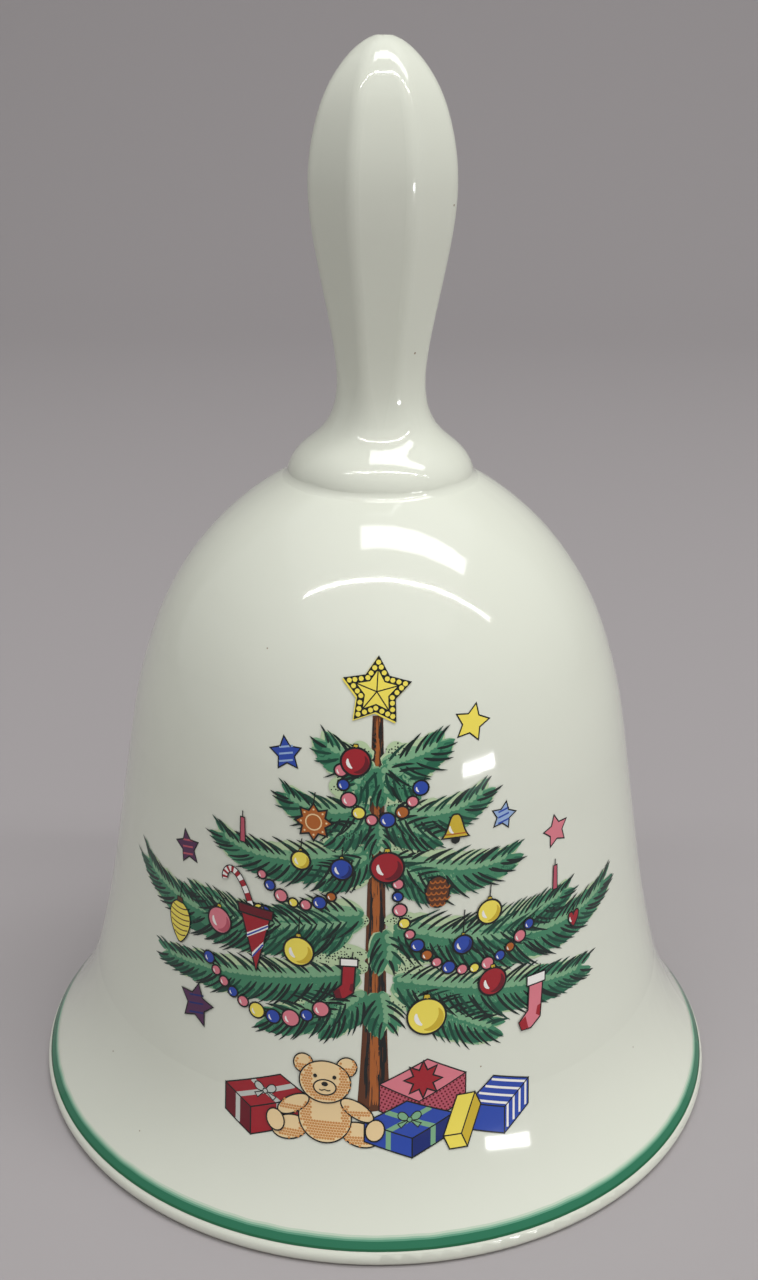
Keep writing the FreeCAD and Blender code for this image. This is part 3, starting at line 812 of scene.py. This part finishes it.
def make_trimmings():
    """Garlands, glass balls and small things hung on the boughs."""
    level = TRIM_LEVEL
    paint = Paint("painted_garlands")
    beads = ("pink", "blue", "pink", "yellow", "pink", "blue", "brown")
    low_beads = ("blue", "pink", "pink", "blue", "pink", "yellow", "blue", "pink", "blue", "pink")
    garland(paint, [(-4.4, 52), (-4.0, 43.5), (3.0, 43.0), (5.6, 50.4)],
            (0.8, 0.72, 0.95), beads, level)
    garland(paint, [(-14.6, 37.4), (-11.8, 33.4), (-8.0, 32.8), (-4.6, 36.2)],
            (0.62, 0.72, 0.86), beads, level)
    garland(paint, [(2.6, 38.0), (1.2, 31.0), (10, 18.5), (20.6, 30.4)],
            (0.72, 0.66, 0.86), beads, level)
    garland(paint, [(-22.6, 24.6), (-18.5, 18.8), (-11.5, 16.4), (-5.4, 21.8)],
            (0.85, 0.68, 0.70, 0.72, 0.76, 1.05, 0.95, 1.15, 0.80, 1.05), low_beads, level)
    paint.make()
    paint = Paint("painted_baubles")
    bauble(paint, (-2.6, 52.3), 1.75, "red", "deep_red", level + 5)
    bauble(paint, (1.2, 39.4), 2.0, "red", "deep_red", level + 5)
    bauble(paint, (-9.2, 39.6), 1.2, "yellow", "deep_yellow", level + 5, 1.6)
    bauble(paint, (-4.2, 39.0), 1.35, "blue", "deep_blue", level + 5, 1.5)
    bauble(paint, (14.0, 32.4), 1.6, "yellow", "deep_yellow", level + 5, 2.0)
    bauble(paint, (10.6, 28.8), 1.25, "blue", "deep_blue", level + 5, 3.2)
    bauble(paint, (-20.4, 29.3), 1.75, "pink", "deep_pink", level + 5, 1.0)
    bauble(paint, (-9.5, 27.9), 1.9, "yellow", "deep_yellow", level + 5, 2.6)
    bauble(paint, (6.2, 20.0), 2.4, "yellow", "deep_yellow", level + 5, 0.8)
    bauble(paint, (14.6, 23.2), 1.85, "red", "deep_red", level + 5, 0.8)
    paint.make()
    paint = Paint("painted_ornaments")
    tree_star(paint, np.array((-0.2, 60.6)), 4.1, level)
    gingerbread(paint, (-7.6, 44.6), 2.3, level + 5)
    fir_cone(paint, (7.3, 36.0), 1.45, level + 5)
    gold_bell(paint, (9.4, 42.6), 2.9, level + 5)
    stocking(paint, (-3.3, 27.0), 2.6, "red", "deep_red", level + 9)
    stocking(paint, (20.9, 21.6), 3.4, "pink", "red", level + 9)
    toy_heart(paint, (27.2, 27.6), 1.1, level + 9)
    glass_drop(paint, (-27.2, 26.9), 1.35, level + 5)
    sweet_cone(paint, (-15.2, 31.6), level + 5)
    for foot in ((-16.9, 40.4), (23.8, 32.6)):
        tree_candle(paint, foot, level)
    paint.make()
    paint = Paint("painted_stars")
    small_star(paint, (-11.1, 52.4), 2.1, "blue", 8, 0, "pale_blue")
    small_star(paint, (11.3, 56.2), 2.3, "yellow", -14, 0)
    small_star(paint, (15.7, 44.2), 1.75, "pale_blue", -12, 0, "blue")
    small_star(paint, (23.9, 40.1), 2.1, "pink", 10, 0)
    small_star(paint, (-25.9, 36.9), 2.2, "plum", 14, 0, "deep_pink")
    small_star(paint, (-24.2, 17.0), 2.8, "plum", -8, TRIM_LEVEL, "deep_blue")
    paint.make()


# ---------------------------------------------------------------- things under the tree
def bow(paint, centre, size, colour, level):
    """Two loops, two tails and a knot."""
    centre = np.array(centre, float)
    for side in (-1, 1):
        tail = np.array([(0, 0), (0.9, -0.9), (1.25, -0.45)]) * (side * size, size) + centre
        paint.shape(tail if side < 0 else tail[::-1], colour, level, 0.12)
        loop = curve([(0, 0), (0.5, 1.5), (1.9, 1.1), (1.5, -0.5), (0, 0)], 18)
        paint.shape(loop * (side * size, size) + centre, colour, level + 2, 0.13)
    paint.dot(centre, 0.28 * size, colour, level + 4)
    paint.line(circle(centre, 0.28 * size), 0.12, "ink", level + 5, closed=True)


def face(corner, along, up):
    """Four corners of a parallelogram."""
    return np.array([corner, corner + along, corner + along + up, corner + up])


def gift(paint, corner, left, right, height, colours, level, ribbon=None, bands=0, lean=0.0):
    """A wrapped box seen over its near corner; left and right run along its foot edges."""
    corner, left, right = (np.array(value, float) for value in (corner, left, right))
    up = np.array([lean, height])
    sides = (face(corner, left, up), face(corner, right, up), face(corner + up, left, right))
    for outline, colour in zip(sides, colours):
        paint.fill(outline, colour, level)
    for number in range(bands):
        start = corner + right * (number + 0.5) / bands
        path = [start + 0.1 * up, start + up, start + up + left * 0.96]
        paint.line(path, 0.34 * abs(right[0]) / bands, "white", level + 1)
    if ribbon:
        for along, other in ((left, right), (right, left)):
            foot = corner + 0.5 * along
            paint.line([foot, foot + up, foot + up + other], 0.62, ribbon, level + 1)
    for outline in sides:
        paint.line(outline, 0.17, "ink", level + 2, closed=True)
    if ribbon:
        bow(paint, corner + up + 0.5 * (left + right), 1.15, ribbon, level + 4)


def spotted(paint, corner, along, up, rows, columns, colour, level):
    """A grid of small dots on one face of a box."""
    corner, along, up = (np.array(value, float) for value in (corner, along, up))
    for row in range(rows):
        for column in range(columns):
            shift = 0.25 if row % 2 else -0.25
            share = ((column + 0.5 + shift) / columns, (row + 0.5) / rows)
            paint.dot(corner + along * share[0] + up * share[1], 0.13, colour, level)


def shade_oval(paint, centre, radius, squash, outline, level):
    """A screen of dots on the lower part and the sides of an oval."""
    pitch = 0.34
    for across in np.arange(-radius, radius, pitch):
        for climb in np.arange(-radius, radius, pitch):
            spot = centre + (across + 0.5 * pitch * (round(climb / pitch) % 2), climb)
            depth = math.hypot(across, climb / squash) / radius
            shaded = climb < -0.15 * radius * squash or abs(across) > 0.55 * radius
            if depth < 0.93 and shaded and inside(spot[None], outline)[0]:
                paint.dot(spot, 0.165, "fur", level)


def toy_bear(paint, foot, level):
    """A plain sitting toy bear made of ovals, shaded with a fine screen of dots."""
    foot = np.array(foot, float)
    # Legs, body, arms, ears and head are shaded; the snout and the soles are plain.
    furry = [
        ((-4.5, 1.5), 2.4, 0.62, 16), ((4.4, 1.4), 2.4, 0.62, -16), ((0, 3.3), 3.3, 0.96, 0),
        ((-4.0, 4.5), 2.3, 0.44, 32), ((4.0, 4.5), 2.3, 0.44, -32),
        ((-2.7, 10.0), 1.25, 1.0, 0), ((2.7, 10.0), 1.25, 1.0, 0), ((0, 7.9), 3.2, 0.84, 0),
    ]
    plain = [((0, 7.2), 1.4, 0.7, 0), ((-6.3, 2.1), 1.15, 1.2, 18), ((6.2, 2.0), 1.15, 1.2, -18)]
    for number, (place, radius, squash, turn) in enumerate(furry + plain):
        outline = circle(foot + place, radius, squash, turn)
        oval_level = level + 3 * number
        paint.shape(outline, "tan", oval_level, 0.18)
        if number < len(furry):
            shade_oval(paint, foot + place, radius, squash, outline, oval_level + 1)
    top = level + 3 * len(furry + plain)
    for side in (-1, 1):
        paint.dot(foot + (1.2 * side, 8.6), 0.26, "ink", top)
    paint.fan(circle(foot + (0, 7.65), 0.42, 0.7), "ink", top)
    smile = curve([(-0.7, 6.9), (-0.1, 6.5), (0, 7.5), (0.1, 6.5), (0.7, 6.9)], 12) + foot
    paint.ribbon(smile, np.full(12, 0.13), "ink", top)


def make_gifts():
    """Five wrapped boxes and the bear; what stands nearer is painted on a higher level."""
    paint = Paint("painted_gifts")
    red = ("deep_red", "red", "red")
    pink = ("deep_pink", "deep_pink", "pink")
    blue = ("blue", "blue", "blue")
    dark_blue = ("blue", "deep_blue", "blue")
    yellow = ("yellow", "deep_yellow", "yellow")
    gift(paint, (-15.9, 2.9), (-3.6, 2.2), (7.6, 2.9), 3.4, red, 0, ribbon="grey")
    near, left, right, height = (5.4, 5.6), (-4.9, 2.4), (5.9, 3.0), 3.4
    gift(paint, near, left, right, height, pink, 3)
    spotted(paint, near, left, (0, height), 7, 12, "deep_red", 5)
    spotted(paint, near, right, (0, height), 7, 14, "deep_red", 5)
    paint.shape(moved(star_outline(8, 2.4, 0.55), (5.9, 11.8)), "red", 6, 0.2)
    gift(paint, (16.6, 3.1), (-5.0, 1.6), (3.4, 2.8), 3.3, blue, 8, bands=4)
    gift(paint, (4.6, 2.0), (-5.9, 2.1), (5.2, 2.7), 2.4, dark_blue, 16, ribbon="soft_leaf")
    gift(paint, (11.6, 2.6), (-2.3, 0.0), (1.7, 5.0), 1.7, yellow, 24, lean=-0.8)
    paint.make()
    paint = Paint("painted_bear")
    toy_bear(paint, (-6.2, 3.5), 10)
    paint.make()


def make_lip_line():
    """The green line round the lip: crisp below, fading upward in a few unsteady steps."""
    columns = 720
    dice = random.Random(5)
    waves = [(number, dice.uniform(0, 2 * math.pi), dice.uniform(0.5, 1.0))
             for number in range(5, 90, 7)]
    turn = 2 * math.pi * np.arange(columns) / columns - math.pi
    ripple = sum(size * np.sin(number * turn + phase) for number, phase, size in waves) / len(waves)
    # Each edge's rise above the line's lower edge and how unsteady it is, in mm.
    edges = ((0.0, 0.02), (0.3, 0.04), (1.20, 0.09), (1.42, 0.12), (1.66, 0.15), (1.92, 0.18))
    tones = ("line_dark", "line_green", "line_soft", "line_pale", "line_faint")
    low = np.interp(LINE_HEIGHT, wall.fine, wall.climb)
    rows = []
    for rise, unsteady in edges:
        climb = low + rise + unsteady * ripple
        radius = wall.profile(np.interp(climb, wall.climb, wall.fine))[0]
        rows.append(np.stack([turn * radius, climb], 1))
    paint = Paint("green_lip_line")
    faces = [(n, (n + 1) % columns, columns + (n + 1) % columns, columns + n)
             for n in range(columns)]
    for low_row, high_row, tone in zip(rows, rows[1:], tones):
        paint.add(np.concatenate([low_row, high_row]), faces, tone, 0)
        # The bands share their edges, so all of them start the cycle of lifts.
        paint.count = 0
    paint.make()


def make_glaze_pool():
    """Glaze gathered in the corner between the crown's slope and the handle's collar."""
    columns = 144
    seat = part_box("bell_shell")[1][2]
    corner = np.array((12.10 * MM, seat - 0.17 * MM))
    on_crown = corner + (0.96 * MM, -0.56 * MM)
    on_collar = corner + (-0.10 * MM, 0.90 * MM)
    behind = (11.4 * MM, seat + 0.1 * MM)
    section = np.concatenate([curve([on_crown, corner, on_collar], 9), [behind]])
    points, faces = [], []
    for column in range(columns):
        turn = 2 * math.pi * column / columns
        points += [(r * math.cos(turn), r * math.sin(turn), z) for r, z in section]
    size = len(section)
    for column in range(columns):
        here, there = column * size, (column + 1) % columns * size
        faces += [(here + n, there + n, there + (n + 1) % size, here + (n + 1) % size)
                  for n in range(size)]
    mesh = bpy.data.meshes.new("glaze_pool")
    mesh.from_pydata(points, [], faces)
    mesh.shade_smooth()
    mesh.set_sharp_from_angle(angle=math.radians(40))
    mesh.materials.append(plain_glaze)
    pool = bpy.data.objects.new("glaze_pool", mesh)
    bpy.context.scene.collection.objects.link(pool)
    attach(pool, "bell")


# ---------------------------------------------------------------- stage, light and camera
def make_stage():
    """A plain pale sheet: flat under the bell and curving up far behind it."""
    half_width = 1.6
    front, back, top = 1.4, 0.55, 1.6
    curve_radius, steps = 0.5, 16
    line = [(-front, 0.0)]
    for number in range(steps + 1):
        angle = math.pi / 2 * number / steps
        line.append((back + curve_radius * math.sin(angle), curve_radius * (1 - math.cos(angle))))
    line.append((back + curve_radius, top))
    points = [(x, y, z) for y, z in line for x in (-half_width, half_width)]
    faces = [(2 * n, 2 * n + 1, 2 * n + 3, 2 * n + 2) for n in range(len(line) - 1)]
    mesh = bpy.data.meshes.new("backdrop")
    mesh.from_pydata(points, [], faces)
    mesh.shade_smooth()
    backdrop = bpy.data.objects.new("backdrop", mesh)
    bpy.context.scene.collection.objects.link(backdrop)
    paper = Shader("paper", Roughness=0.9, Base_Color=(*linear(164, 159, 160), 1.0))
    mesh.materials.append(paper.material)


def softbox(name, place, target, width, height, power):
    """A rectangular white lamp at place that faces target."""
    light = bpy.data.lights.new(name, "AREA")
    light.shape = "RECTANGLE"
    light.size, light.size_y = width, height
    light.energy = power
    lamp = bpy.data.objects.new(name, light)
    lamp.location = place
    toward = Vector(target) - Vector(place)
    lamp.rotation_euler = toward.to_track_quat("-Z", "Y").to_euler()
    bpy.context.scene.collection.objects.link(lamp)


def make_lights():
    """A softbox and a long strip overhead, a broad one high above and a small one at the right."""
    lamp_height, ceiling_height = 1.10, 1.6
    off_centre = 0.32
    middle = (0, 0, 0.07)
    softbox("overhead", (off_centre, -0.06, lamp_height), (off_centre, -0.06, 0.0), 0.94, 0.20, 4.2)
    softbox("long_strip", (off_centre, -0.42, lamp_height), (off_centre, -0.42, 0.0), 2.1, 0.008, 7.0)
    softbox("ceiling", (0.0, -0.3, ceiling_height), (0.0, -0.3, 0.0), 2.5, 2.5, 6.0)
    softbox("side", (0.66, -0.68, 0.056), middle, 0.24, 0.056, 1.15)
    world = bpy.data.worlds.new("studio")
    world.use_nodes = True
    background = world.node_tree.nodes["Background"]
    background.inputs["Color"].default_value = (1, 1, 1, 1)
    background.inputs["Strength"].default_value = 0.335
    bpy.context.scene.world = world


def make_camera():
    """The photograph's view: level with the handle's tip, looking down at the shoulder."""
    place = (0.0, -0.1894, 0.1398)
    down = math.radians(22.07)
    lean = math.radians(0.48)
    data = bpy.data.cameras.new("camera")
    data.sensor_width = 36.0
    data.lens = 42.19
    data.clip_start = 0.01
    camera = bpy.data.objects.new("camera", data)
    camera.matrix_world = (
        Matrix.Translation(place)
        @ Matrix.Rotation(math.pi / 2 - down, 4, "X")
        @ Matrix.Rotation(lean, 4, "Z")
    )
    bpy.context.scene.collection.objects.link(camera)
    bpy.context.scene.camera = camera


shell_glaze = porcelain("shell_glaze", bare_foot=True)
plain_glaze = porcelain("plain_glaze")
wire = brass_wire()
dress("bell_shell", shell_glaze)
for name in ("handle", "clapper_lug", "clapper_ball"):
    dress(name, plain_glaze)
for name in nodes:
    if name in ("hanger_ring", "eye_pin") or name.startswith("chain_link"):
        dress(name, wire)

make_lip_line()
make_glaze_pool()
make_trunk()
make_foliage()
make_trimmings()
make_gifts()
make_stage()
make_lights()
make_camera()
bpy.context.scene.view_settings.view_transform = "Standard"
